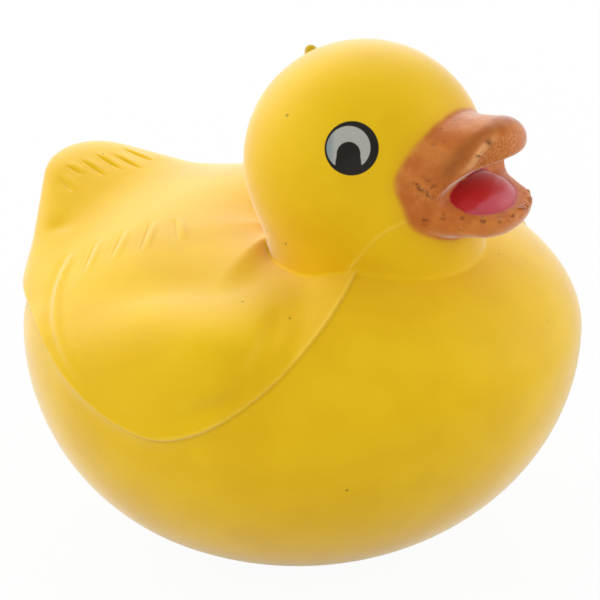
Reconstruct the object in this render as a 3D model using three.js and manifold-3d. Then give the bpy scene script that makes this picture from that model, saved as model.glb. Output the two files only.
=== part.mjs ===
// Squeezable foam duck, moulded in one piece: a bowl with a flat foot, a back shell with wings and
// a tail that meets the bowl along a swooping parting line, a round head and an open beak.
// Millimetres. The duck faces +X, +Z is up, and its foot stands on Z = 0.

import * as THREE from 'three';
import { mergeVertices } from 'three/addons/utils/BufferGeometryUtils.js';
import Module from 'manifold-3d';

const wasm = await Module();
wasm.setup();

// Bowl, measured from the body centre
const breastReach = 38.5;
const rumpReach = 33.0;
const bodyHalfWidth = 35.9;
const bowlDepth = 31.9;
const breastRise = 17.4;
const backRise = 11.4;
const footRadius = 12.0;

// Parting line, as heights in degrees above the body centre: at the breast, at the side, at the rump
const partingFront = 43;
const partingSide = -4;
const partingRear = 8;

// Back shell: how far its edge stands proud of the bowl, and how fast it falls away above the edge
const shellStep = 0.4;
const shellFallFront = 0.61;
const shellFallSide = 0.16;
const shellBlend = 1.6;

// Wings, one each side
const wingHalfLength = 24.0;
const wingHalfThickness = 17.5;
const wingHalfHeight = 13.0;
const wingProud = 0.15;
const wingSetBack = 2.8;
const wingDrop = 2.0;
const wingPitch = 7.5;
const wingYaw = 5;
const wingSquareness = 2.5;
const wingBlend = 2.0;

// Tail: a wedge from a broad root to a narrow fan, tilted up to the rear
const tailOverhang = 4.1;
const tailRise = 11.4;
const tailTipRadius = 8.0;
const tailRootRadius = 22.0;
const tailRootBack = 13.2;
const tailSpread = 1.2;
const tailFlatness = 0.39;
const tailTilt = 22;
const tailBlend = 3.1;

// Head and neck
const headForward = 11.6;
const headRise = 23.4;
const headRadius = 15.1;
const headHalfHeight = 14.8;
const neckRadius = 13.5;
const neckForward = 1.9;
const neckBlend = 2.6;

// Beak: two lobes that taper from the face to their tips, and the cheeks that join them
const upperReach = 3.5;
const upperTipRadius = 3.3;
const upperTipRise = 6.1;
const upperRootRadius = 6.1;
const upperRootRise = 2.0;
const upperSpread = 1.42;
const upperFlatness = 0.88;
const lowerReach = 3.1;
const lowerTipRadius = 4.3;
const lowerTipDrop = 2.4;
const lowerRootRadius = 6.4;
const lowerRootDrop = 2.2;
const lowerSpread = 1.49;
const lowerFlatness = 0.78;
const beakRootDepth = 5.0;
const cheekHalfWidth = 10.3;
const cheekHalfHeight = 7.0;
const cheekReach = 8.7;
const beakCentreRise = 0.9;

// Mouth: an oval slot across the beak, and the level of the lower lip
const mouthDepth = 0.4;
const mouthHalfLength = 8.4;
const mouthHalfHeight = 3.4;
const mouthRise = 1.9;
const mouthPitch = 15.5;
const mouthHalfWidth = 25;
const lipRise = 0.0;
const lipPitch = 12;

// Tongue
const tongueHalfLength = 4.7;
const tongueHalfWidth = 5.6;
const tongueHalfHeight = 3.1;
const tongueBeyondFace = 1.0;
const tongueDrop = 1.9;

// Feather slits in the tail and the wings
const slitWidth = 1.0;
const slitDepth = 0.65;
const tailSlitPairs = 3;
const tailSlitSpacing = 2.5;
const tailSlitLength = 4.0;
const tailSlitFan = 3.0;
const tailSlitInset = 4.6;
const wingSlits = 4;
const wingSlitLength = 5.0;
const wingSlitSpacing = 3.5;
const wingSlitFan = 6;
const wingSlitInset = 9.0;

// Nub left by the air vent of the mould, leaning back from the top of the head
const nubLean = 33;
const nubHalfLength = 0.8;
const nubHeight = 0.9;

// Resolution of the faceted surfaces
const bodyFacets = [76, 44];
const headFacets = [40, 28];
const beakFacets = [26, 18];
const mouthFacets = [32, 24];
const slitFacets = [10, 8];

const degrees = Math.PI / 180;
const foamYellow = '#e0b416';

// Height of the body centre, at which the bowl meets the ground in a disc of the foot's radius
const bodyHeight = bowlDepth * Math.sqrt(1 - (footRadius / bodyHalfWidth) ** 2);

const smoothStep = (t) => THREE.MathUtils.smoothstep(t, 0, 1);

// Joins two signed distances with a rounded inside corner of the given size
function smoothUnion(a, b, size) {
  const mix = THREE.MathUtils.clamp(0.5 + (0.5 * (b - a)) / size, 0, 1);
  return b * (1 - mix) + a * mix - size * mix * (1 - mix);
}

function smoothCut(a, b, size) {
  return -smoothUnion(-a, -b, size);
}

// Distance to an ellipsoid whose exponent above 2 makes it boxier
function ovoid(point, radii, exponent = 2) {
  const parts = [point.x / radii.x, point.y / radii.y, point.z / radii.z].map(Math.abs);
  const sum = parts.reduce((total, part) => total + part ** exponent, 1e-12) ** (1 / exponent);
  const slope = new THREE.Vector3(...parts.map((part) => part ** (exponent - 1)));
  slope.multiplyScalar(sum ** (1 - exponent)).divide(radii);
  return (sum - 1) / (slope.length() + 1e-6);
}

// Distance to the hull of two alike ellipsoids, of radii startRadius and endRadius times scale
function taper(point, start, end, startRadius, endRadius, scale) {
  const base = start.clone().divide(scale);
  const axis = end.clone().divide(scale).sub(base);
  const length = axis.length();
  axis.normalize();
  const offset = point.clone().divide(scale).sub(base);
  const along = offset.dot(axis);
  const across = Math.sqrt(Math.max(offset.lengthSq() - along * along, 1e-12));
  const narrowing = THREE.MathUtils.clamp((startRadius - endRadius) / length, -0.99, 0.99);
  const lean = narrowing / Math.sqrt(1 - narrowing ** 2);
  const nearest = THREE.MathUtils.clamp(along - across * lean, 0, length);
  offset.addScaledVector(axis, -nearest);
  const distance = offset.length() + 1e-9;
  const slope = offset.clone().divideScalar(distance).divide(scale);
  return (distance - (startRadius - narrowing * nearest)) / slope.length();
}

const pitched = (point, angle) => point.clone().applyAxisAngle(new THREE.Vector3(0, 1, 0), angle * degrees);
const yawed = (point, angle) => point.clone().applyAxisAngle(new THREE.Vector3(0, 0, 1), -angle * degrees);

// Degrees round from the breast, 0 to 180, and degrees up from level, for a point on the body
const bearingOf = (point) => Math.atan2(Math.abs(point.y), point.x) / degrees;
const elevationOf = (point) => Math.asin(THREE.MathUtils.clamp(point.z / point.length(), -1, 1)) / degrees;

// The parting line climbs over the breast, dips under the wing and rises again to the tail
function partingAt(bearing) {
  const dip = (partingSide - partingFront) * smoothStep((bearing - 12) / 72);
  const climb = (partingRear - partingSide) * smoothStep((bearing - 82) / 42);
  return partingFront + dip + climb;
}

function eggRadius(point, rise) {
  const direction = point.clone().normalize();
  const reach = direction.x > 0 ? breastReach : rumpReach;
  const height = direction.z > 0 ? rise : bowlDepth;
  return 1 / Math.hypot(direction.x / reach, direction.y / bodyHalfWidth, direction.z / height);
}

const wingCentre = new THREE.Vector3(-wingSetBack, bodyHalfWidth + wingProud - wingHalfThickness, -wingDrop);
const wingRadii = new THREE.Vector3(wingHalfLength, wingHalfThickness, wingHalfHeight);
const tailRoot = new THREE.Vector3(-tailRootBack, 0, 0.4);
const tailTip = new THREE.Vector3(-(rumpReach + tailOverhang - tailTipRadius), 0, tailRise);
const tailScale = new THREE.Vector3(1, tailSpread, tailFlatness);

// The bowl below the parting line
const bowl = (point) => 0.8 * (point.length() - eggRadius(point, breastRise));

// The back shell above the parting line: a low back, an edge that follows the bowl, wings and tail
function shell(point) {
  const distance = point.length();
  const bearing = bearingOf(point);
  const aboveEdge = Math.max(elevationOf(point) - partingAt(bearing), 0) * degrees;
  const fall = THREE.MathUtils.lerp(shellFallFront, shellFallSide, smoothStep((bearing - 45) / 35));
  const back = 0.8 * (distance - eggRadius(point, backRise));
  const edge = 0.8 * (distance - eggRadius(point, breastRise) - shellStep + fall * 27 * aboveEdge);
  const folded = new THREE.Vector3(point.x, Math.abs(point.y), point.z);
  const wing = ovoid(yawed(pitched(folded.sub(wingCentre), wingPitch), wingYaw), wingRadii, wingSquareness);
  const tail = taper(
    pitched(point, -tailTilt), pitched(tailRoot, -tailTilt), pitched(tailTip, -tailTilt),
    tailRootRadius, tailTipRadius, tailScale,
  );
  return smoothUnion(smoothUnion(smoothUnion(back, edge, shellBlend), wing, wingBlend), tail, tailBlend);
}

function body(point) {
  return elevationOf(point) > partingAt(bearingOf(point)) + 1e-4 ? shell(point) : bowl(point);
}

// The head with its neck, which runs down inside the body, measured from the head centre
function headAndNeck(point) {
  const head = ovoid(point, new THREE.Vector3(headRadius, headRadius, headHalfHeight));
  const wall = Math.hypot(point.x - neckForward, point.y) - neckRadius;
  const neck = Math.max(smoothCut(wall, point.z, 2), -(point.z + headRise));
  return smoothUnion(head, neck, neckBlend);
}

// Closed surface pushed out from a centre until it meets the boundary of a shape, where it turns
// from negative to positive. The steer moves each direction first, so that rows follow an edge.
function pushedOut(shape, centre, [around, rings], steer = () => {}) {
  const sphere = new THREE.SphereGeometry(1, around, rings).rotateX(Math.PI / 2);
  const position = sphere.getAttribute('position');
  const direction = new THREE.Vector3();
  for (let i = 0; i < position.count; i += 1) {
    direction.fromBufferAttribute(position, i).normalize();
    steer(direction, rings);
    let inside = 0;
    let outside = 2 * (breastReach + rumpReach);
    for (let halving = 0; halving < 44; halving += 1) {
      const middle = (inside + outside) / 2;
      if (shape(direction.clone().multiplyScalar(middle).add(centre)) < 0) inside = middle;
      else outside = middle;
    }
    direction.multiplyScalar(inside).add(centre);
    position.setXYZ(i, direction.x, direction.y, direction.z);
  }
  return sphere;
}

// Moves the rows of the body's surface so that one row lies on the parting line, the next row lies
// just above it, and the rows over that start close together
function alongParting(direction, rings) {
  const edge = 0.4;
  const crowding = 1.5;
  const row = 180 / rings;
  const level = elevationOf(direction);
  const bearing = Math.atan2(direction.y, direction.x);
  const parting = partingAt(bearingOf(direction));
  let steered = parting + ((90 + parting) * level) / 90;
  if (level > row / 2) {
    const share = Math.max((level - row) / (90 - row), 0) ** crowding;
    steered = parting + edge + (90 - parting - edge) * share;
  }
  const flat = Math.cos(steered * degrees);
  direction.set(flat * Math.cos(bearing), flat * Math.sin(bearing), Math.sin(steered * degrees));
}

// Geometry to a solid that can be joined and cut, and back
function toSolid(geometry) {
  const bare = geometry.clone();
  bare.deleteAttribute('normal');
  bare.deleteAttribute('uv');
  const merged = mergeVertices(bare, 1e-5);
  return new wasm.Manifold(new wasm.Mesh({
    numProp: 3,
    vertProperties: new Float32Array(merged.getAttribute('position').array),
    triVerts: new Uint32Array(merged.index.array),
  }));
}

function toGeometry(solid) {
  const mesh = solid.getMesh();
  const geometry = new THREE.BufferGeometry();
  geometry.setAttribute('position', new THREE.BufferAttribute(mesh.vertProperties, 3));
  geometry.setIndex(new THREE.BufferAttribute(mesh.triVerts, 1));
  geometry.computeVertexNormals();
  return geometry;
}

const bodyCentre = new THREE.Vector3(0, 0, bodyHeight);
const headCentre = new THREE.Vector3(headForward, 0, bodyHeight + headRise);

function makeBody() {
  return toSolid(pushedOut(body, new THREE.Vector3(), bodyFacets, alongParting).translate(0, 0, bodyHeight));
}

function makeHead() {
  return toSolid(pushedOut(headAndNeck, new THREE.Vector3(), headFacets).translate(...headCentre));
}

// One lobe of the beak, from its root inside the face to its tip, measured from the head centre
function makeLobe(root, tip, rootRadius, tipRadius, scale) {
  const lobe = (point) => taper(point, root, tip, rootRadius, tipRadius, scale);
  return toSolid(pushedOut(lobe, root.clone().lerp(tip, 0.5), beakFacets).translate(...headCentre));
}

function makeOvoid(radii, facets, pitch, centre) {
  const geometry = new THREE.SphereGeometry(1, ...facets).scale(...radii);
  return toSolid(geometry.rotateY(-pitch * degrees).translate(...centre).translate(...headCentre));
}

function makeBeak() {
  const upper = makeLobe(
    new THREE.Vector3(headRadius - beakRootDepth, 0, upperRootRise),
    new THREE.Vector3(headRadius + upperReach, 0, upperTipRise),
    upperRootRadius, upperTipRadius, new THREE.Vector3(1, upperSpread, upperFlatness),
  );
  const lower = makeLobe(
    new THREE.Vector3(headRadius - beakRootDepth, 0, -lowerRootDrop),
    new THREE.Vector3(headRadius + lowerReach, 0, -lowerTipDrop),
    lowerRootRadius, lowerTipRadius, new THREE.Vector3(1, lowerSpread, lowerFlatness),
  );
  const cheeks = makeOvoid(
    [cheekReach, cheekHalfWidth, cheekHalfHeight], beakFacets, 0,
    [headRadius - beakRootDepth, 0, beakCentreRise],
  );
  const mouth = makeOvoid(
    [mouthHalfLength, mouthHalfWidth, mouthHalfHeight], mouthFacets, mouthPitch,
    [headRadius - mouthDepth + mouthHalfLength, 0, mouthRise],
  );
  const block = 3 * headRadius;
  const overLip = new THREE.BoxGeometry(block, block, block).translate(0, 0, block / 2);
  overLip.rotateY(lipPitch * degrees).translate(headRadius, 0, lipRise).translate(...headCentre);
  const tongue = makeOvoid(
    [tongueHalfLength, tongueHalfWidth, tongueHalfHeight], beakFacets, -lipPitch,
    [headRadius + tongueBeyondFace, 0, -tongueDrop],
  );
  return upper.add(cheeks).subtract(mouth).add(lower.subtract(toSolid(overLip))).add(tongue);
}

// Point of the back shell straight above a place in the plan of the body
function onShell(x, y) {
  let inside = 0;
  let outside = headRise + headRadius;
  for (let halving = 0; halving < 40; halving += 1) {
    const middle = (inside + outside) / 2;
    if (shell(new THREE.Vector3(x, y, middle)) < 0) inside = middle;
    else outside = middle;
  }
  return new THREE.Vector3(x, y, inside + bodyHeight);
}

// A lens-shaped cutter that lies in the shell's surface, centred on a place in plan
function makeSlit(x, y, heading, length) {
  const half = new THREE.Vector2(Math.cos(heading), Math.sin(heading)).multiplyScalar(length / 2);
  const start = onShell(x - half.x, y - half.y);
  const end = onShell(x + half.x, y + half.y);
  const along = end.clone().sub(start).normalize();
  const side = new THREE.Vector3(0, 0, 1).cross(along).normalize();
  const up = along.clone().cross(side);
  const turn = new THREE.Matrix4().makeBasis(along, side, up).setPosition(onShell(x, y));
  const lens = new THREE.SphereGeometry(1, ...slitFacets).scale(length / 2, slitWidth / 2, slitDepth);
  return toSolid(lens.applyMatrix4(turn));
}

// Slits fan out in a row across the tail's tip, and along the inner edge of each wing
function makeSlits() {
  const slits = [];
  for (const side of [-1, 1]) {
    for (let i = 0; i < tailSlitPairs; i += 1) {
      const y = side * (i + 0.5) * tailSlitSpacing;
      const spread = tailSlitFan * y * degrees;
      const x = -(rumpReach + tailOverhang) + tailSlitInset + tailSlitLength / 2 + 0.1 * Math.abs(y);
      slits.push(makeSlit(x, y, spread, tailSlitLength - 0.5 * i));
    }
    for (let i = 0; i < wingSlits; i += 1) {
      const x = -wingSetBack - 14 + (wingSlitSpacing * 0.73) * i;
      const y = side * (bodyHalfWidth - wingSlitInset - 7.8 - (wingSlitSpacing * 0.68) * i);
      const heading = side * (66 - wingSlitFan * i) * degrees;
      slits.push(makeSlit(x, y, heading, wingSlitLength));
    }
  }
  return slits;
}

function makeNub() {
  const lean = nubLean * degrees;
  const geometry = new THREE.SphereGeometry(1, ...slitFacets).scale(nubHalfLength, nubHalfLength, nubHeight);
  geometry.translate(0, 0, headHalfHeight).rotateY(-lean).translate(...headCentre);
  return toSolid(geometry);
}

// Everything below the ground plane, cut away to leave the flat foot
function makeGround() {
  const size = 4 * bodyHalfWidth;
  return toSolid(new THREE.BoxGeometry(size, size, size).translate(0, 0, -size / 2));
}

let foam = makeBody();
for (const slit of makeSlits()) foam = foam.subtract(slit);
foam = foam.add(makeHead()).add(makeBeak()).add(makeNub()).subtract(makeGround());

const duck = new THREE.Mesh(
  toGeometry(foam),
  new THREE.MeshStandardMaterial({ color: foamYellow, roughness: 0.55, metalness: 0 }),
);
duck.name = 'foam_duck';

// The origin is under the middle of the duck's length
duck.geometry.computeBoundingBox();
duck.position.x = -duck.geometry.boundingBox.getCenter(new THREE.Vector3()).x;

const model = new THREE.Group();
model.add(duck);

export default model;
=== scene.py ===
"""Squeezable foam duck, 75 mm long, on a white ground.

The duck faces +X and stands on Z = 0. Shapes are worked out in millimetres as one signed distance,
meshed finely where the detail is, and scaled to metres at the end.
"""
import math

import bpy
import numpy as np
import openvdb
from mathutils import Matrix, Vector


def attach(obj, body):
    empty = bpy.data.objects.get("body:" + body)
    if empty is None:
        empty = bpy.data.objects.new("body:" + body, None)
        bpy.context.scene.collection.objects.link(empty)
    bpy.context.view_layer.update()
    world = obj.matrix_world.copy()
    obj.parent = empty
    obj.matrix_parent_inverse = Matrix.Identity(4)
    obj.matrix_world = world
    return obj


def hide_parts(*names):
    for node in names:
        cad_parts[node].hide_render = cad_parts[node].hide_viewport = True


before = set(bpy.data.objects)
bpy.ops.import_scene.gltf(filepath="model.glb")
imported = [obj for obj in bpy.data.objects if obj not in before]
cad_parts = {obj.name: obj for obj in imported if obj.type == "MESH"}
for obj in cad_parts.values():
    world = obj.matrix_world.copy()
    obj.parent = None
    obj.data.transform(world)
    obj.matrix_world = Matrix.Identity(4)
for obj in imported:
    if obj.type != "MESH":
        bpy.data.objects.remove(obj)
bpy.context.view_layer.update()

MM = 0.001

# Body, measured from its centre
BREAST_REACH = 38.5
RUMP_REACH = 33.0
BODY_HALF_WIDTH = 35.9
BOWL_DEPTH = 31.9
BREAST_RISE = 17.4
BACK_RISE = 11.4
FOOT_RADIUS = 12.0
BODY_HEIGHT = BOWL_DEPTH * math.sqrt(1 - (FOOT_RADIUS / BODY_HALF_WIDTH) ** 2)
# The body centre is this far behind the middle of the duck's length
BODY_X = -0.95

# Height of the parting line, in degrees above the body centre
PARTING_FRONT = 43
PARTING_SIDE = -4
PARTING_REAR = 8
# How far the upper shell stands out over the bowl, and how fast it falls back from its edge
SHELL_STEP = 0.4
FALL_FRONT = 0.61
FALL_REAR = 0.16
FALL_REACH = 27

# Wings and tail, from the body centre; a wing's y is its distance from the middle
WING_CENTRE = (-2.8, 18.55, -2.0)
WING_RADII = (24.0, 17.5, 13.0)
WING_PITCH = 7.5
WING_YAW = 5
WING_ROUNDNESS = 2.5
WING_SHOULDER = 0.9
TAIL_ROOT = (-13.2, 0, 0.4)
TAIL_TIP = (-29.1, 0, 11.4)
TAIL_PITCH = -22
TAIL_ROOT_RADIUS = 22.0
TAIL_TIP_RADIUS = 8.0
TAIL_SCALE = (1, 1.2, 0.39)
# Shallow hollow on each side of the tail
DIMPLE_CENTRE = (-26.0, 14.3, 10.7)
DIMPLE_RADII = (1.6, 1.2, 2)
DIMPLE_DEPTH = 0.35

# Head, neck and moulding nub, measured from the head centre
HEAD = np.array([11.6, 0, 23.4])
HEAD_RADII = (15.1, 15.1, 14.8)
NECK_X = 1.9
NECK_RADIUS = 13.5
NUB_PITCH = 33
NUB_RADII = (0.8, 0.8, 0.9)

# Beak and mouth, measured from the head centre
BEAK_X = 10.1
UPPER_ROOT = (BEAK_X, 0, 2.0)
UPPER_TIP = (18.6, 0, 6.1)
UPPER_RADII = (6.1, 3.3)
UPPER_SCALE = (1, 1.42, 0.88)
LOWER_ROOT = (BEAK_X, 0, -2.2)
LOWER_TIP = (18.2, 0, -2.4)
LOWER_RADII = (6.4, 4.3)
LOWER_SCALE = (1, 1.49, 0.78)
LIP_TILT = math.radians(12)
CHEEK_CENTRE = (BEAK_X, 0, 0.9)
CHEEK_RADII = (8.7, 10.3, 7.0)
MOUTH_CENTRE = (23.1, 0, 1.9)
MOUTH_RADII = (8.4, 25, 3.4)
MOUTH_PITCH = 15.5

# Tongue and the torn foam at the corner of the mouth, from the body centre
TONGUE = HEAD + np.array([16.4, -0.2, -2.0])
TONGUE_RADII = (4.6, 5.6, 3.2)
TONGUE_PITCH = -12
TORN_CENTRE = (25.4, 8.0, 25.0)
TORN_RADII = (2.6, 2.6, 1.7)

# Feather slits on the tail and on each wing: x, y, heading from +X in degrees, length
TAIL_SLITS = [(-29.7, -8.0, -24, 3.4), (-30.6, -5.2, -6, 3.0), (-29.1, -3.1, -5, 4.6),
              (-28.7, -0.3, 1, 4.6), (-27.5, 2.2, 8, 4.6), (-28.1, 5.5, 18, 4.6)]
WING_SLITS = [(-16.2, 20.5, 66, 8.0), (-13.7, 18.0, 66, 8.0), (-11.1, 15.5, 62, 8.6), (-8.3, 12.7, 50, 7.0)]
# Small holes left by bubbles: x, y, z, radius
PITS = [(31.4, -3.8, 30.7, 0.3), (28.6, -3.9, 31.6, 0.16), (25.0, -6.0, 29.6, 0.18),
        (26.4, -7.0, 27.6, 0.16), (24.0, -9.0, 25.6, 0.2), (25.4, -8.2, 20.6, 0.2),
        (29.2, -6.6, 20.2, 0.14)]
PIT_DEPTH = 0.35

# Lines in relief, each a chain of points from the body centre with y away from the middle.
# Raised rear rim of the wing, from the top down
RIM_POINTS = [(-19.6, 18.6, 10.2), (-19.0, 21.1, 9.6), (-17.8, 24.6, 8.5), (-16.1, 27.5, 7.3),
              (-12.1, 32.2, 5.4), (-7.8, 34.8, 3.4), (-3.5, 36.3, 1.0)]
# The groove in front of the rim is the same line, moved by this much
GROOVE_SHIFT = (1.0, -0.2, 0.5)
# Crease round the foot of the wing, from the back forwards
CREASE_POINTS = [(-7.5, 35.2, 3.6), (-4.6, 36.1, 1.6), (1.6, 36.6, -0.1), (6.9, 36.1, 0.1),
                 (11.2, 35.0, 1.9), (14.6, 33.4, 3.6), (16.0, 32.3, 6.1), (16.3, 28.9, 9.3),
                 (14.7, 24.0, 11.0), (12.6, 20.5, 11.7)]
# Rim of the upper beak's side, from the corner of the mouth forwards
RIDGE_POINTS = [(27.1, 6.9, 24.0), (28.2, 6.1, 25.6), (29.4, 5.2, 27.3), (30.6, 4.9, 29.3),
                (31.4, 4.1, 30.6), (32.0, 2.7, 31.3), (32.3, 1.7, 31.5), (32.5, 0, 31.7)]
# Parting line on the neck and round the lower beak, from the breast forwards
NECK_POINTS = [(17.2, 13.6, 13.0), (18.4, 12.7, 15.4), (20.4, 12.1, 18.2), (21.8, 11.4, 19.7),
               (23.2, 10.3, 20.6), (24.4, 8.9, 21.1), (26.0, 8.4, 21.5), (28.9, 7.0, 21.8),
               (31.1, 6.1, 21.7), (32.4, 4.9, 21.4), (33.7, 2.6, 21.2), (34.1, 0.0, 21.6)]

# Longest edges of the mesh, in the plain parts and where the detail is
EDGE_PLAIN = 1.25
EDGE_FINER_ON_BEAK = 0.83
EDGE_TORN = 0.24
EDGE_SEAM = 0.3
EDGE_SLIT = 0.18
EDGE_NUB = 0.22
EDGE_MOUTH = 0.27
EDGE_NECK_FOOT = 0.5
# Room for the first coarse grid and the size of its cells
GRID_LOW = (-39.0, -39.0, -1.7)
GRID_HIGH = (41.0, 39.0, 71.0)
GRID_CELL = 0.85


# The camera comes first: it looks at the duck's right side from the front, from above
AZIMUTH = math.radians(33.934)
ELEVATION = math.radians(23.51)
LENS = 164.4
CAMERA_DISTANCE = 367.5
# Middle of the picture, from the body centre's place on the ground
AIM_RIGHT = 1.55
AIM_UP = 28.85
RIGHT = Vector((math.cos(AZIMUTH), math.sin(AZIMUTH), 0))
BACK = Vector((math.sin(AZIMUTH) * math.cos(ELEVATION), -math.cos(AZIMUTH) * math.cos(ELEVATION),
               math.sin(ELEVATION)))
UP = BACK.cross(RIGHT)


def make_camera():
    data = bpy.data.cameras.new("camera")
    data.sensor_width = 36
    data.lens = LENS
    data.clip_start = 0.01
    data.clip_end = 20
    camera = bpy.data.objects.new("camera", data)
    bpy.context.scene.collection.objects.link(camera)
    target = RIGHT * AIM_RIGHT * MM + UP * AIM_UP * MM + Vector((BODY_X * MM, 0, 0))
    turn = Matrix((RIGHT, UP, BACK)).transposed().to_4x4()
    camera.matrix_world = Matrix.Translation(target + BACK * CAMERA_DISTANCE * MM) @ turn
    bpy.context.scene.camera = camera


make_camera()


# Shape
def smooth(t):
    """0 up to 0 and 1 from 1 on, smooth between."""
    t = np.clip(t, 0, 1)
    return t * t * (3 - 2 * t)


def fade(distance, width):
    """1 at no distance, falling to 0 in a bell curve of the given width."""
    return np.exp(-(distance / width) ** 2)


def join(a, b, size):
    """Distance from two forms together, with a fillet of the given size."""
    mix = np.clip(0.5 + 0.5 * (b - a) / size, 0, 1)
    return b * (1 - mix) + a * mix - size * mix * (1 - mix)


def cut(a, b, size):
    """Distance from what two forms share, with a rounding of the given size."""
    return -join(-a, -b, size)


def ovoid(q, radii, exponent=2.0):
    """Distance from an ellipsoid, or from a boxier form where the exponent is over 2."""
    radii = np.asarray(radii, float)
    share = np.abs(q) / radii
    exponent = np.broadcast_to(exponent, len(q))
    total = ((share ** exponent[:, None]).sum(-1) + 1e-12) ** (1 / exponent)
    slope = share ** (exponent[:, None] - 1) * (total ** (1 - exponent))[:, None] / radii
    return (total - 1) / (np.linalg.norm(slope, axis=-1) + 1e-6)


def taper(q, start, end, start_radius, end_radius, scale):
    """Distance from a rounded cone between two points, stretched by the scale."""
    scale = np.asarray(scale, float)
    base = np.asarray(start, float) / scale
    axis = np.asarray(end, float) / scale - base
    length = np.linalg.norm(axis)
    axis /= length
    offset = q / scale - base
    along = offset @ axis
    across = np.sqrt(np.maximum((offset ** 2).sum(-1) - along ** 2, 1e-12))
    narrowing = (start_radius - end_radius) / length
    nearest = np.clip(along - across * narrowing / math.sqrt(1 - narrowing ** 2), 0, length)
    offset = offset - nearest[:, None] * axis
    distance = np.linalg.norm(offset, axis=-1) + 1e-9
    slope = np.linalg.norm(offset / distance[:, None] / scale, axis=-1)
    return (distance - (start_radius - narrowing * nearest)) / slope


def pitched(q, angle):
    c, s = math.cos(math.radians(angle)), math.sin(math.radians(angle))
    q = np.atleast_2d(q)
    return np.stack([q[:, 0] * c + q[:, 2] * s, q[:, 1], -q[:, 0] * s + q[:, 2] * c], -1)


def yawed(q, angle):
    c, s = math.cos(math.radians(angle)), math.sin(math.radians(angle))
    return np.stack([q[:, 0] * c + q[:, 1] * s, -q[:, 0] * s + q[:, 1] * c, q[:, 2]], -1)


def egg_radius(d, rise):
    """How far the body reaches along each direction, with the given height above its centre."""
    reach = np.where(d[:, 0] > 0, BREAST_REACH, RUMP_REACH)
    height = np.where(d[:, 2] > 0, rise, BOWL_DEPTH)
    return 1 / np.sqrt((d[:, 0] / reach) ** 2 + (d[:, 1] / BODY_HALF_WIDTH) ** 2 + (d[:, 2] / height) ** 2)


def bumps(q, size, seed):
    """Smooth random values from -1 to 1 that change over the given size."""
    rng = np.random.default_rng(seed)
    total = 0
    for _ in range(6):
        wave = rng.normal(size=3)
        wave *= 2 * math.pi / (size * np.linalg.norm(wave)) * rng.uniform(0.7, 1.5)
        total = total + np.sin(q @ wave + rng.uniform(0, 6.28))
    return total / 3.5


def curved(line, steps=3):
    """A smooth chain of points through the given ones."""
    p = np.vstack([2 * np.array(line[0]) - line[1], line, 2 * np.array(line[-1]) - line[-2]])
    t = (np.arange(steps) / steps)[:, None]
    chain = [0.5 * (2 * b + (c - a) * t + (2 * a - 5 * b + 4 * c - d) * t ** 2
                    + (3 * b - a - 3 * c + d) * t ** 3)
             for a, b, c, d in zip(p, p[1:], p[2:], p[3:])]
    return np.vstack(chain + [p[-2:-1]])


def line_distance(q, line, reach=4.0):
    """Distance to a chain of points, how far along it from 0 to 1, and the nearest point on it."""
    found = np.full(len(q), 2 * reach)
    place = np.zeros(len(q))
    nearest = q.copy()
    near = ((q > line.min(0) - reach) & (q < line.max(0) + reach)).all(1)
    some = q[near]
    best = np.full(len(some), 1e9)
    best_place = np.zeros(len(some))
    best_point = some.copy()
    count = len(line) - 1
    for i in range(count):
        a, b = line[i], line[i + 1]
        t = np.clip(((some - a) @ (b - a)) / ((b - a) @ (b - a)), 0, 1)
        point = a + t[:, None] * (b - a)
        d = np.linalg.norm(some - point, axis=-1)
        nearer = d < best
        best = np.where(nearer, d, best)
        best_place = np.where(nearer, (i + t) / count, best_place)
        best_point = np.where(nearer[:, None], point, best_point)
    found[near] = best
    place[near] = best_place
    nearest[near] = best_point
    return found, place, nearest


RIM_LINE = curved(RIM_POINTS)
CREASE_LINE = curved(CREASE_POINTS)
RIDGE_LINE = curved(RIDGE_POINTS)
NECK_LINE = curved(NECK_POINTS)


def slit_marks(q):
    """Depth of the feather slits and height of the lips beside them, and the distance to the nearest."""
    depth = np.zeros(len(q))
    near = np.full(len(q), 1e9)
    tail = [(*slit, 1) for slit in TAIL_SLITS]
    wings = [(x, side * y, side * heading, length, -side)
             for x, y, heading, length in WING_SLITS for side in (-1, 1)]
    for x, y, heading, length, front in tail + wings:
        h = math.radians(heading)
        dx, dy = q[:, 0] - x, q[:, 1] - y
        along = dx * math.cos(h) + dy * math.sin(h)
        across = (-dx * math.sin(h) + dy * math.cos(h)) * front
        over = np.maximum(np.abs(along) - length / 2, 0)
        share = np.clip(1 - (along / (length / 2)) ** 2, 0, 1)
        width = 0.12 + 0.08 * share
        wide = 0.5 + 0.5 * (abs(y) > 10)
        depth += share * (0.2 * fade(across, width)
                          + 0.1 * wide * fade(across + 0.5, 0.6)
                          - 0.2 * wide * fade(across - 0.75, 0.5))
        near = np.minimum(near, np.hypot(across, over))
    return depth, near


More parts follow.
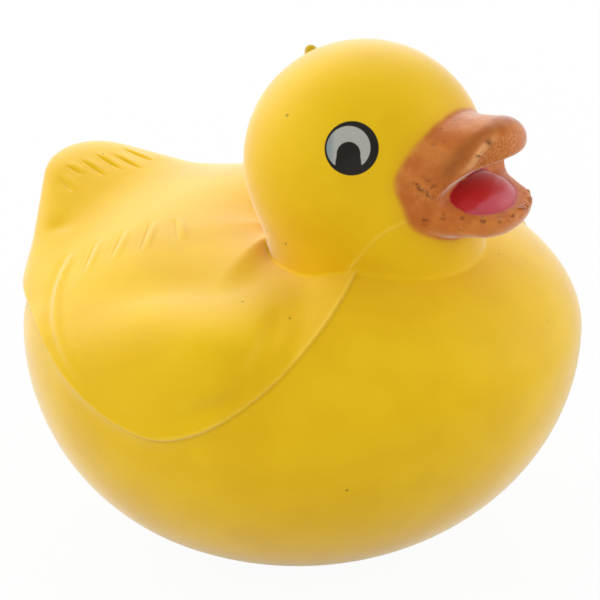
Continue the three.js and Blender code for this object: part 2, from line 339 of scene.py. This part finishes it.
def wings_and_tail(q, folded, back):
    """The back with its wings, tail and relief, and how far the nearest slit is."""
    in_wing = yawed(pitched(folded - np.array(WING_CENTRE), WING_PITCH), WING_YAW)
    roundness = WING_ROUNDNESS + WING_SHOULDER * smooth(in_wing[:, 2] / 8) * smooth((in_wing[:, 0] + 8) / 14)
    wing = ovoid(in_wing, WING_RADII, roundness)
    tail_root, tail_tip = pitched([TAIL_ROOT, TAIL_TIP], TAIL_PITCH)
    tail = taper(pitched(q, TAIL_PITCH), tail_root, tail_tip, TAIL_ROOT_RADIUS, TAIL_TIP_RADIUS, TAIL_SCALE)
    shell = join(join(back, wing, 0.4 + 0.5 * smooth((q[:, 0] + 25) / 20)), tail, 3.1)

    rim, place, _ = line_distance(folded, RIM_LINE)
    groove, _, _ = line_distance(folded + np.array(GROOVE_SHIFT), RIM_LINE)
    ends = smooth(place / 0.2) * smooth((1 - place) / 0.3)
    shell = shell - ends * (0.34 * fade(rim, 0.7) - 0.25 * fade(groove, 0.8))

    crease, place, _ = line_distance(folded, CREASE_LINE)
    ends = smooth((place + 0.1) / 0.2) * smooth((1 - place) / 0.2)
    shell = shell + (0.12 + 0.75 * smooth((place - 0.3) / 0.3)) * fade(crease, 1.2) * ends

    slits, near_slit = slit_marks(q)
    dimple = np.linalg.norm((folded - np.array(DIMPLE_CENTRE)) / np.array(DIMPLE_RADII), axis=-1)
    shell = shell + np.where(q[:, 2] > 4, slits, 0) + DIMPLE_DEPTH * fade(dimple, 1)
    return shell, near_slit


def body_shape(q, folded):
    """The bowl and the shell over it, which meet at the parting line."""
    distance = np.linalg.norm(q, axis=-1) + 1e-9
    d = q / distance[:, None]
    bearing = np.degrees(np.arctan2(np.abs(d[:, 1]), d[:, 0]))
    elevation = np.degrees(np.arcsin(np.clip(d[:, 2], -1, 1)))
    parting = (PARTING_FRONT + (PARTING_SIDE - PARTING_FRONT) * smooth((bearing - 12) / 72)
               + (PARTING_REAR - PARTING_SIDE) * smooth((bearing - 82) / 42))
    above = np.radians(elevation - parting)
    seam = above * distance
    full = egg_radius(d, BREAST_RISE)
    fall = FALL_FRONT + (FALL_REAR - FALL_FRONT) * smooth((bearing - 45) / 35)
    bowl = 0.8 * (distance - full)
    back = 0.8 * (distance - egg_radius(d, BACK_RISE))
    edge = 0.8 * (distance - full - SHELL_STEP + fall * FALL_REACH * np.maximum(above, 0))
    shell, near_slit = wings_and_tail(q, folded, join(back, edge, 1.6))

    over = smooth(0.5 + seam / 0.24)
    flush = shell + 0.35 + 0.5 * np.maximum(-seam, 0) + 4 * smooth((bearing - 140) / 15)
    below = join(bowl, flush, 0.8)
    ragged = smooth((bearing - 85) / 15) * smooth((150 - bearing) / 20)
    bead = 0.1 + ragged * (0.05 + 0.08 * bumps(q, 1.6, 5))
    body = below * (1 - over) + shell * over - bead * fade(seam - 0.2, 0.28) * fade(bowl, 0.8)
    return {"body": body, "bowl": bowl, "seam": seam, "near_slit": near_slit}


def head_shape(h):
    """The head with its neck and the moulding nub."""
    head = ovoid(h, HEAD_RADII)
    neck = cut(np.hypot(h[:, 0] - NECK_X, h[:, 1]) - NECK_RADIUS, h[:, 2], 2.0)
    neck = np.maximum(neck, -(h[:, 2] + HEAD[2]))
    head = join(head, neck, 2.6)
    nub = ovoid(pitched(h, NUB_PITCH) - np.array([0, 0, HEAD_RADII[2]]), NUB_RADII)
    return join(head, nub, 0.3), nub


def ridge_relief(q, folded, mouth):
    """The raised rim along the upper beak and the hollows beside it."""
    ridge, place, on_ridge = line_distance(folded, RIDGE_LINE)
    inner = (folded - on_ridge) @ np.array([0.75, 0, -0.66])
    last = np.where(q[:, 1] > 0, 0.5, 0.75)
    ends = smooth(place / 0.1) * smooth((last - place) / 0.3)
    ends = ends * smooth((mouth - 0.1) / 0.7)
    relief = ends * (0.32 * fade(ridge, 0.35)
                     - 0.5 * fade(ridge - 1.5, 1.0) * smooth(0.5 + inner / 0.5)
                     - 0.3 * fade(ridge - 1.2, 0.7) * smooth(0.5 - inner / 0.5))
    return relief, {"ridge": ridge, "ridge_place": place, "inner": inner}


def beak_shape(q, h, folded):
    """The two halves of the beak, the mouth cut between them, and the rough marks."""
    upper = taper(h, UPPER_ROOT, UPPER_TIP, *UPPER_RADII, UPPER_SCALE)
    lower = taper(h, LOWER_ROOT, LOWER_TIP, *LOWER_RADII, LOWER_SCALE)
    lip_drop = 0.45 - 0.5 * np.clip(h[:, 1] / 6, -1, 1)
    lip = (h[:, 0] - HEAD_RADII[0]) * math.sin(LIP_TILT) + (h[:, 2] + lip_drop) * math.cos(LIP_TILT)
    burr = fade(lip, 0.6) * fade(lower, 0.6) * smooth((h[:, 0] - 18) / 2.5) * smooth((h[:, 1] + 4.8) / 3)
    crumbs = smooth(bumps(q, 2.1, 13) + 0.5 * bumps(q, 0.9, 14))
    lower = cut(lower, lip, 0.95)
    cheek = ovoid(h - np.array(CHEEK_CENTRE), CHEEK_RADII)
    mouth = ovoid(pitched(h - np.array(MOUTH_CENTRE), MOUTH_PITCH), MOUTH_RADII)
    beak = join(cut(join(upper, cheek, 1.6), -mouth, 0.6), lower, 1.6)

    rough = smooth(1.2 - np.linalg.norm((folded - np.array(TORN_CENTRE)) / np.array(TORN_RADII), axis=-1))
    cuts = rough * fade(bumps(q, 2.8, 15), 0.16)
    beak = beak + 0.02 * bumps(q, 2.4, 11) + rough * 0.14 * bumps(q, 1.2, 12) + 0.3 * cuts
    beak = beak - burr * 0.18 * crumbs
    relief, marks = ridge_relief(q, folded, mouth)
    beak = beak - relief
    for x, y, z, radius in PITS:
        beak = beak + PIT_DEPTH * np.exp(-((q - np.array([x, y, z])) ** 2).sum(-1) / radius ** 2)
    return beak, {**marks, "mouth": mouth, "rough": rough, "cuts": cuts, "burr": burr * crumbs}


def shape(p):
    """Distances from points in millimetres, with x from the body centre and z from the ground."""
    q = p - np.array([0, 0, BODY_HEIGHT])
    h = q - HEAD
    folded = np.stack([q[:, 0], np.abs(q[:, 1]), q[:, 2]], -1)
    body = body_shape(q, folded)
    head, nub = head_shape(h)
    beak, beak_marks = beak_shape(q, h, folded)
    tongue = ovoid(pitched(q - TONGUE, TONGUE_PITCH), TONGUE_RADII)

    # The flash on the neck line belongs to the head at its start and to the beak at its end
    line, place, _ = line_distance(folded, NECK_LINE)
    tip = smooth((place - 0.72) / 0.2)
    height = 0.12 - 0.07 * smooth((place - 0.35) / 0.15) + tip * (0.1 + 0.12 * bumps(q, 1.6, 21))
    flash = height * fade(line, 0.17 + 0.1 * tip)
    beak = beak - np.where(place > 0.4, flash, 0)
    head = head - np.where(place < 0.6, flash, 0)

    whole = join(body["body"], head, 0.5)
    whole = join(whole, beak, 0.5)
    whole = np.minimum(whole, tongue)
    return {**body, **beak_marks, "whole": np.maximum(whole, -p[:, 2]), "head": head, "beak": beak,
            "tongue": tongue, "nub": nub, "line": line, "place": place, "q": q, "h": h}


def distance_at(p, block=400000):
    return np.concatenate([shape(p[i:i + block])["whole"] for i in range(0, len(p), block)])


def slope_at(p, reach):
    slope = np.empty_like(p)
    for axis in range(3):
        step = np.zeros(3)
        step[axis] = reach
        slope[:, axis] = (distance_at(p + step) - distance_at(p - step)) / (2 * reach)
    return slope


def settled(p, rounds):
    """Points moved onto the surface."""
    for _ in range(rounds):
        slope = slope_at(p, 0.02)
        steep = np.maximum((slope ** 2).sum(-1), 0.15)
        step = np.clip(distance_at(p), -0.5, 0.5) / steep
        p = p - step[:, None] * slope
    return p


def wanted_edge(p):
    """Longest edge that the mesh may have near each point."""
    s = shape(p)
    size = np.full(len(p), EDGE_PLAIN)
    on_beak = smooth(1.5 - np.maximum(s["beak"], 0) / 2)
    size = np.minimum(size, EDGE_PLAIN - EDGE_FINER_ON_BEAK * on_beak)
    size = np.where((np.abs(s["beak"]) < 0.6) & (s["rough"] > 0.02), EDGE_TORN, size)
    seam = np.maximum(np.abs(s["seam"]) - 0.5, 0) + 3 * np.maximum(np.abs(s["bowl"]) - 1.5, 0)
    size = np.minimum(size, np.where(s["head"] > 0.3, EDGE_SEAM + 0.6 * seam, 9))
    neck_line = EDGE_SEAM + 0.6 * np.maximum(s["line"] - 0.4, 0)
    size = np.minimum(size, np.where(s["head"] < 0.5, neck_line, 9))
    slit = np.where(s["q"][:, 2] > 5, EDGE_SLIT + 0.5 * np.maximum(s["near_slit"] - 0.35, 0), 9)
    size = np.minimum(size, slit)
    size = np.minimum(size, EDGE_NUB + 0.5 * np.maximum(s["nub"] - 0.4, 0))
    mouth_edge = (np.abs(s["mouth"]) < 0.6) & (np.abs(s["beak"]) < 0.6)
    size = np.where(mouth_edge, np.minimum(size, EDGE_MOUTH), size)
    crease = np.abs(s["head"]) + np.abs(s["body"])
    return np.minimum(size, EDGE_NECK_FOOT + 0.5 * np.maximum(crease - 0.8, 0))


def refined(points, faces):
    """Splits the edges that are too long, side by side, so the surface stays closed."""
    for _ in range(5):
        ends = np.sort(np.stack([faces, np.roll(faces, -1, 1)], -1).reshape(-1, 2), 1)
        edges, which = np.unique(ends, axis=0, return_inverse=True)
        which = which.reshape(-1, 3)
        middle = (points[edges[:, 0]] + points[edges[:, 1]]) / 2
        length = np.linalg.norm(points[edges[:, 0]] - points[edges[:, 1]], axis=-1)
        long = length > wanted_edge(middle)
        if not long.any():
            break
        number = np.full(len(edges), -1)
        number[long] = len(points) + np.arange(long.sum())
        points = np.vstack([points, settled(middle[long], 3)])
        mids = number[which]
        marked = mids >= 0
        count = marked.sum(1)
        parts = [faces[count == 0]]
        first = np.where(count == 1, marked.argmax(1), (~marked).argmax(1) + 1)
        turn = (first[:, None] + np.arange(3)) % 3
        f = np.take_along_axis(faces, turn, 1)
        m = np.take_along_axis(mids, turn, 1)
        a, b, c = f[count == 1].T
        ab = m[count == 1][:, 0]
        parts += [np.stack([a, ab, c], 1), np.stack([ab, b, c], 1)]
        a, b, c = f[count == 2].T
        ab, bc = m[count == 2][:, :2].T
        parts += [np.stack([ab, b, bc], 1), np.stack([a, ab, bc], 1), np.stack([a, bc, c], 1)]
        a, b, c = faces[count == 3].T
        ab, bc, ca = mids[count == 3].T
        parts += [np.stack(t, 1) for t in ((a, ab, ca), (ab, b, bc), (ca, bc, c), (ab, bc, ca))]
        faces = np.vstack(parts)
    return points, faces


def duck_surface():
    """A closed surface: a coarse grid first, then moved onto the form and split where it is fine."""
    low = np.array(GRID_LOW)
    counts = np.ceil((np.array(GRID_HIGH) - low) / GRID_CELL).astype(int)
    axes = [low[i] + GRID_CELL * np.arange(counts[i]) for i in range(3)]
    points = np.stack(np.meshgrid(*axes, indexing="ij"), -1).reshape(-1, 3)
    grid = openvdb.FloatGrid(5.0)
    grid.copyFromArray(distance_at(points).reshape(counts).astype(np.float32))
    corners, quads = grid.convertToQuads(0.0)
    points = low + GRID_CELL * np.asarray(corners, float)
    quads = np.asarray(quads, np.int64)
    faces = np.vstack([quads[:, [0, 1, 2]], quads[:, [0, 2, 3]]])
    a, b, c = (points[faces[:, i]] for i in range(3))
    if np.einsum("ij,ij->i", a, np.cross(b, c)).sum() < 0:
        faces = faces[:, ::-1]
    points = settled(points, 5)
    points, faces = refined(points, faces)
    points[:, 2] = np.maximum(points[:, 2], 0)
    return points, faces


def surface_marks(points, s):
    """How much of each colour and kind of mark every point has, from 0 to 1."""
    beak = smooth((0.5 - s["beak"] - 0.05 * bumps(points, 4, 31)) / 0.45)
    on_shell_edge = (np.abs(s["bowl"]) < 0.9) * (s["head"] > 0.2)
    ridge_start = smooth(s["ridge_place"] / 0.15)
    pits = sum(np.exp(-((s["q"] - np.array(pit[:3])) ** 2).sum(-1) / (1.3 * pit[3]) ** 2) for pit in PITS)
    torn = 0.7 * s["rough"] * smooth(bumps(points, 0.9, 41) * 2 - 0.6)
    beside_line = fade(s["line"] - 0.3, 0.16) * (s["place"] > 0.5) * smooth(bumps(points, 1.5, 42) * 2 - 0.8)
    return {
        "beak": np.where(s["h"][:, 2] > -14, beak, 0),
        "tongue": smooth((0.4 - s["tongue"] + 0.05 * bumps(points, 1.5, 32)) / 0.25),
        "flash": fade(s["seam"] - 0.15, 0.25) * on_shell_edge,
        # Painted shadow along the bowl, just under the shell's flash
        "painted_shadow_under_flash": fade(s["seam"] + 0.3, 0.22) * on_shell_edge,
        "neck_flash": fade(s["line"], 0.22) * (s["place"] < 0.45),
        "overspray": smooth((1.5 - s["beak"]) / 1.2) * (s["h"][:, 2] > -11),
        # Painted highlight along the beak's ridge
        "lip": smooth((s["mouth"] - 0.2) / 0.5) * fade(s["ridge"], 0.36) * ridge_start
               * smooth((0.8 - s["ridge_place"]) / 0.3),
        # Painted shade in the groove above the beak's ridge
        "painted_groove_shade": fade(s["ridge"] - 1.6, 1.3) * smooth(-s["inner"] / 0.5) * smooth(s["ridge_place"] / 0.2),
        "palate": smooth(s["inner"] / 0.4) * smooth(s["ridge_place"] / 0.08) * smooth((5 - s["ridge"]) / 3)
                  * (s["mouth"] > 0.1),
        "nub": smooth((0.35 - s["nub"]) / 0.3),
        # Painted shade in the bubble holes, in the cuts and torn foam at the mouth, among the burr's crumbs
        # and beside the beak's flash line
        "painted_shade_in_hollows": np.clip(pits + 0.6 * s["cuts"] + 0.5 * s["burr"] + torn + beside_line, 0, 1),
    }


def make_duck():
    points, faces = duck_surface()
    slope = slope_at(points, 0.06)
    normals = slope / np.maximum(np.linalg.norm(slope, axis=-1), 1e-9)[:, None]
    mesh = bpy.data.meshes.new("duck")
    placed = (points + np.array([BODY_X, 0, 0])) * MM
    mesh.from_pydata(placed.tolist(), [], faces.tolist())
    mesh.shade_smooth()
    mesh.normals_split_custom_set_from_vertices(normals.tolist())
    for name, values in surface_marks(points, shape(points)).items():
        layer = mesh.attributes.new(name, "FLOAT", "POINT")
        layer.data.foreach_set("value", np.asarray(values, np.float32))
    duck = bpy.data.objects.new("duck", mesh)
    bpy.context.scene.collection.objects.link(duck)
    print("duck triangles", len(faces), "lowest and highest", placed.min(0), placed.max(0))
    return duck


# Colours as seen on a screen, from 0 to 255
SKIN_DARK = (228, 182, 6)
SKIN_LIGHT = (234, 190, 10)
SKIN_SPECK = (120, 82, 10)
FLASH_PALE = (248, 214, 96)
# Painted shadow under the flash
FLASH_PAINTED_SHADOW = (196, 146, 6)
NUB_SHADE = (170, 150, 20)
OVERSPRAY = (214, 140, 40)
BEAK_DARK = (188, 102, 38)
BEAK_LIGHT = (207, 126, 56)
# Painted shade in the small pits
BEAK_PAINTED_PIT_SHADE = (96, 40, 14)
# Painted shade in the groove above the ridge
BEAK_GROOVE_SHADE = (144, 80, 32)
# Painted highlight on the ridge
BEAK_RIDGE_HIGHLIGHT = (234, 176, 118)
# Painted shade in the beak's hollows and cuts
BEAK_PAINTED_SHADE = (88, 40, 16)
PALATE_LIGHT = (206, 130, 68)
PALATE_DARK = (184, 102, 46)
# Painted highlight on the front of the tongue
TONGUE_LIT_PINK = (190, 74, 84)
TONGUE_RED = (184, 34, 36)
EYE_INK = (24, 17, 13)
EYE_SHADED = (140, 150, 150)
EYE_WHITE = (172, 170, 162)


# Materials
class Graph:
    """Short words for shader nodes."""

    def __init__(self, name):
        self.material = bpy.data.materials.new(name)
        self.material.use_nodes = True
        self.tree = self.material.node_tree
        self.tree.nodes.clear()

    def node(self, kind, **settings):
        made = self.tree.nodes.new("ShaderNode" + kind)
        for key, value in settings.items():
            setattr(made, key, value)
        return made

    def put(self, socket, value):
        if isinstance(value, bpy.types.NodeSocket):
            self.tree.links.new(value, socket)
        elif value is not None:
            socket.default_value = value

    def math(self, operation, a, b=None, c=None):
        made = self.node("Math", operation=operation)
        for socket, value in zip(made.inputs, (a, b, c)):
            self.put(socket, value)
        return made.outputs[0]

    def vector(self, operation, a, b=None):
        made = self.node("VectorMath", operation=operation)
        self.put(made.inputs[0], a)
        self.put(made.inputs[1], b)
        return made.outputs["Value" if operation in ("DOT_PRODUCT", "LENGTH", "DISTANCE") else "Vector"]

    def mix(self, amount, a, b, kind="RGBA"):
        """The first at amount 0 and the second at amount 1."""
        made = self.node("Mix", data_type=kind)
        made.clamp_factor = True
        ends = {"RGBA": (0, 6, 7, 2), "FLOAT": (0, 2, 3, 0)}[kind]
        self.put(made.inputs[ends[0]], amount)
        self.put(made.inputs[ends[1]], a)
        self.put(made.inputs[ends[2]], b)
        return made.outputs[ends[3]]

    def step(self, value, low, high):
        """0 below low and 1 above high, smooth between; low may be the larger."""
        made = self.node("MapRange", interpolation_type="SMOOTHSTEP")
        flip = low > high
        self.put(made.inputs["Value"], value)
        self.put(made.inputs["From Min"], min(low, high))
        self.put(made.inputs["From Max"], max(low, high))
        self.put(made.inputs["To Min"], 1.0 if flip else 0.0)
        self.put(made.inputs["To Max"], 0.0 if flip else 1.0)
        return made.outputs["Result"]

    def noise(self, place, scale, detail=3.0, rough=0.5):
        made = self.node("TexNoise")
        self.put(made.inputs["Vector"], place)
        self.put(made.inputs["Scale"], scale)
        self.put(made.inputs["Detail"], detail)
        self.put(made.inputs["Roughness"], rough)
        return made.outputs["Fac"]

    def spots(self, place, scale):
        made = self.node("TexVoronoi")
        self.put(made.inputs["Vector"], place)
        self.put(made.inputs["Scale"], scale)
        return made.outputs["Distance"]

    def mark(self, name):
        return self.node("Attribute", attribute_name=name).outputs["Fac"]

    def tint(self, base, name, amount, shade):
        """The base with a colour laid over it where the surface carries the named mark."""
        return self.mix(self.math("MULTIPLY", self.mark(name), amount), base, colour(shade))


def colour(shade):
    """Linear colour from 0 to 255 values as seen on a screen."""
    parts = [v / 255 for v in shade]
    return tuple([v / 12.92 if v <= 0.04045 else ((v + 0.055) / 1.055) ** 2.4 for v in parts] + [1])


# Printed eye: its middle in millimetres, and the directions out of it, across it and up it
EYE = np.array([17.43 + BODY_X, -12.18, 29.7 + BODY_HEIGHT])
EYE_OUT = np.array([0.389, -0.817, 0.427])
EYE_ACROSS = np.array(RIGHT) - np.dot(RIGHT, EYE_OUT) * EYE_OUT
EYE_ACROSS /= np.linalg.norm(EYE_ACROSS)
EYE_UP = np.cross(EYE_OUT, EYE_ACROSS)
# Discs of the print: how far their middles lie across and up, and their radii
EYE_RIM = ((0, 0, 0), 3.25)
EYE_INSIDE = ((-0.37, 0.03, 0), 2.63)
PUPIL = ((-0.34, -0.67, 0), 1.42)
PUPIL_FOOT = ((-0.38, -1.75, 0), 1.55)


def eye_print(g, place):
    """Where the eyes are printed, and their colours. Both sides share one drawing."""
    parts = g.node("SeparateXYZ")
    g.put(parts.inputs[0], place)
    folded = g.node("CombineXYZ")
    g.put(folded.inputs[0], parts.outputs[0])
    g.put(folded.inputs[1], g.math("MULTIPLY", g.math("ABSOLUTE", parts.outputs[1]), -1.0))
    g.put(folded.inputs[2], parts.outputs[2])
    offset = g.vector("SUBTRACT", folded.outputs[0], tuple(EYE))
    across = g.vector("DOT_PRODUCT", offset, tuple(EYE_ACROSS))
    upward = g.vector("DOT_PRODUCT", offset, tuple(EYE_UP))
    outward = g.vector("DOT_PRODUCT", offset, tuple(EYE_OUT))
    flat = g.node("CombineXYZ")
    g.put(flat.inputs[0], across)
    g.put(flat.inputs[1], upward)

    def disc(centre, radius):
        return g.math("SUBTRACT", g.vector("DISTANCE", flat.outputs[0], centre), radius)

    printed = g.math("MULTIPLY", g.step(disc(*EYE_RIM), 0.06, -0.06), g.step(outward, -3, -2.5))
    ring = g.math("MULTIPLY", disc(*EYE_INSIDE), -1.0)
    dark = g.math("SMOOTH_MIN", disc(*PUPIL), ring, 0.3)
    dark = g.math("SMOOTH_MIN", dark, disc(*PUPIL_FOOT), 0.4)
    # The greyer left part of the white is painted shade
    white = g.mix(g.step(across, -2.6, -1.9), colour(EYE_SHADED), colour(EYE_WHITE))
    return printed, g.mix(g.step(dark, -0.05, 0.05), colour(EYE_INK), white)


def yellow_skin(g, place):
    """Faint cloudiness, a few dark specks, the paler flash with a painted shadow under it, the nub and the
    paint's overspray.
    """
    clouds = g.step(g.noise(place, 0.09, 3), 0.35, 0.65)
    yellow = g.mix(clouds, colour(SKIN_DARK), colour(SKIN_LIGHT))
    speck = g.step(g.spots(place, 0.16), 0.045, 0.03)
    yellow = g.mix(g.math("MULTIPLY", speck, 0.55), yellow, colour(SKIN_SPECK))
    pale = g.math("MAXIMUM", g.mark("flash"), g.mark("neck_flash"))
    yellow = g.mix(g.math("MULTIPLY", pale, 0.3), yellow, colour(FLASH_PALE))
    # Painted shadow under the flash
    yellow = g.tint(yellow, "painted_shadow_under_flash", 0.4, FLASH_PAINTED_SHADOW)
    yellow = g.tint(yellow, "nub", 0.6, NUB_SHADE)
    return g.tint(yellow, "overspray", 0.2, OVERSPRAY)


def orange_paint(g, place):
    """The beak's sprayed colour, speckled inside, with painted shade in its small pits, its groove and its
    cuts, and a painted highlight on the ridge.
    """
    blotches = g.step(g.noise(place, 0.35, 4, 0.6), 0.35, 0.7)
    orange = g.mix(blotches, colour(BEAK_DARK), colour(BEAK_LIGHT))
    pits = g.step(g.spots(place, 0.8), 0.16, 0.07)
    pits = g.math("MULTIPLY", pits, g.step(g.noise(place, 0.5, 2), 0.5, 0.62))
    # The small pits are painted dark, which is painted shade in them
    orange = g.mix(g.math("MULTIPLY", pits, 0.75), orange, colour(BEAK_PAINTED_PIT_SHADE))
    # Painted shade in the groove above the ridge
    orange = g.tint(orange, "painted_groove_shade", 0.6, BEAK_GROOVE_SHADE)
    grain = g.step(g.noise(place, 3.6, 2), 0.42, 0.6)
    inside = g.mix(grain, colour(PALATE_LIGHT), colour(PALATE_DARK))
    orange = g.mix(g.math("MULTIPLY", g.mark("palate"), 0.8), orange, inside)
    # Painted highlight along the ridge
    orange = g.tint(orange, "lip", 0.85, BEAK_RIDGE_HIGHLIGHT)
    # Painted shade in the beak's hollows and cuts
    return g.tint(orange, "painted_shade_in_hollows", 0.8, BEAK_PAINTED_SHADE), pits


def red_tongue(g, place):
    """Red at the rear and pinker in front, the pink a painted highlight where the tongue is lit, with an
    uneven border.
    """
    from_tongue = g.vector("SUBTRACT", place, tuple(TONGUE + np.array([BODY_X, 0, BODY_HEIGHT])))
    rearward = g.vector("DOT_PRODUCT", from_tongue, (-0.64, 0, 0.76))
    rearward = g.math("ADD", rearward, g.noise(place, 0.7, 2))
    # The pink in front is a painted highlight
    return g.mix(g.step(rearward, -0.4, 0.3), colour(TONGUE_LIT_PINK), colour(TONGUE_RED))


def skin_material():
    g = Graph("yellow_foam_skin")
    shader = g.node("BsdfPrincipled")
    out = g.node("OutputMaterial")
    g.put(out.inputs["Surface"], shader.outputs[0])
    # The noise is measured in millimetres
    place = g.vector("MULTIPLY", g.node("TexCoord").outputs["Object"], (1000, 1000, 1000))

    beak = g.mark("beak")
    tongue = g.mark("tongue")
    printed, ink = eye_print(g, place)
    orange, pits = orange_paint(g, place)
    base = g.mix(beak, yellow_skin(g, place), orange)
    base = g.mix(tongue, base, red_tongue(g, place))
    g.put(shader.inputs["Base Color"], g.mix(printed, base, ink))

    rough = g.mix(beak, 0.48, 0.42, "FLOAT")
    rough = g.mix(tongue, rough, 0.32, "FLOAT")
    g.put(shader.inputs["Roughness"], g.mix(printed, rough, 0.3, "FLOAT"))
    shader.inputs["Specular IOR Level"].default_value = 0.12
    shader.inputs["Sheen Weight"].default_value = 0.75
    shader.inputs["Sheen Roughness"].default_value = 0.35

    fine = g.node("Bump")
    fine.inputs["Distance"].default_value = 0.00006
    g.put(fine.inputs["Strength"], g.mix(beak, 0.2, 0.7, "FLOAT"))
    height = g.math("SUBTRACT", g.noise(place, 1.6, 4, 0.6), g.math("MULTIPLY", pits, beak))
    g.put(fine.inputs["Height"], height)
    g.put(shader.inputs["Normal"], fine.outputs[0])
    return g.material


# Floor and light, in metres
FLOOR_REACH = 4.0
# The floor lies this little below the foot, so that the two faces don't coincide
FLOOR_GAP = 0.00002
LIGHT_DISTANCE = 0.9
LIGHT_SIZE = 0.7
LIGHT_AIM_HEIGHT = 0.03
# A light tent: each lamp's direction from the duck and its power. The left is the brightest.
TENT = {
    "light_back": ((-0.51, 0.76, 0.6), 1.7), "light_back_high": ((-0.4, 0.55, 1.0), 1.1),
    "light_left_low": ((-1.0, -0.2, 0.2), 1.0), "light_left": ((-1.0, -0.1, 0.6), 2.7),
    "light_left_back": ((-1.0, 0.5, 0.6), 1.9), "light_right_low": ((0.8, 0.8, 0.15), 2.5),
    "light_right": ((0.8, 0.8, 0.7), 1.5), "light_front": ((1.0, -0.1, 0.6), 0.7),
    "light_near_left": ((-0.5, -1.0, 0.6), 1.5), "light_near_high": ((0.35, -0.6, 1.1), 0.8),
    "light_near": ((0.45, -0.8, 0.1), 1.4),
}


def make_floor():
    mesh = bpy.data.meshes.new("floor")
    corners = [(x * FLOOR_REACH, y * FLOOR_REACH, 0) for x, y in ((-1, -1), (1, -1), (1, 1), (-1, 1))]
    mesh.from_pydata(corners, [], [(0, 1, 2, 3)])
    floor = bpy.data.objects.new("floor", mesh)
    floor.location.z = -FLOOR_GAP
    bpy.context.scene.collection.objects.link(floor)
    g = Graph("white_ground")
    rays = g.node("LightPath")
    mirrored = g.math("MAXIMUM", rays.outputs["Is Glossy Ray"], rays.outputs["Is Transmission Ray"])
    seen = g.math("MAXIMUM", rays.outputs["Is Camera Ray"], g.math("MULTIPLY", mirrored, 0.6))
    diffuse = g.node("BsdfDiffuse")
    diffuse.inputs["Color"].default_value = (0.75, 0.75, 0.75, 1)
    glow = g.node("Emission")
    mixed = g.node("MixShader")
    g.put(mixed.inputs[0], g.math("MULTIPLY", seen, 0.95))
    g.put(mixed.inputs[1], diffuse.outputs[0])
    g.put(mixed.inputs[2], glow.outputs[0])
    g.put(g.node("OutputMaterial").inputs["Surface"], mixed.outputs[0])
    mesh.materials.append(g.material)


def make_world():
    world = bpy.data.worlds.new("world")
    bpy.context.scene.world = world
    world.use_nodes = True
    tree = world.node_tree
    tree.nodes.clear()
    rays = tree.nodes.new("ShaderNodeLightPath")
    first = tree.nodes.new("ShaderNodeMath")
    first.operation = "MAXIMUM"
    tree.links.new(rays.outputs["Is Camera Ray"], first.inputs[0])
    tree.links.new(rays.outputs["Is Glossy Ray"], first.inputs[1])
    second = tree.nodes.new("ShaderNodeMath")
    second.operation = "MAXIMUM"
    tree.links.new(first.outputs[0], second.inputs[0])
    tree.links.new(rays.outputs["Is Transmission Ray"], second.inputs[1])
    strength = tree.nodes.new("ShaderNodeMapRange")
    strength.inputs["To Min"].default_value = 0.38
    strength.inputs["To Max"].default_value = 1.0
    tree.links.new(second.outputs[0], strength.inputs["Value"])
    sky = tree.nodes.new("ShaderNodeBackground")
    sky.inputs["Color"].default_value = (1, 1, 1, 1)
    tree.links.new(strength.outputs[0], sky.inputs["Strength"])
    out = tree.nodes.new("ShaderNodeOutputWorld")
    tree.links.new(sky.outputs[0], out.inputs["Surface"])


def make_light(name, toward, power):
    data = bpy.data.lights.new(name, "AREA")
    data.shape = "DISK"
    data.size = LIGHT_SIZE
    data.energy = power
    light = bpy.data.objects.new(name, data)
    bpy.context.scene.collection.objects.link(light)
    aim = Vector(toward).normalized()
    light.location = Vector((0, 0, LIGHT_AIM_HEIGHT)) + aim * LIGHT_DISTANCE
    light.rotation_euler = aim.to_track_quat("Z", "Y").to_euler()


duck = make_duck()
duck.data.materials.append(skin_material())
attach(duck, "root")
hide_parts("foam_duck")

make_floor()
make_world()
for light_name, (toward, power) in TENT.items():
    make_light(light_name, toward, power)

bpy.context.scene.view_settings.view_transform = "Standard"
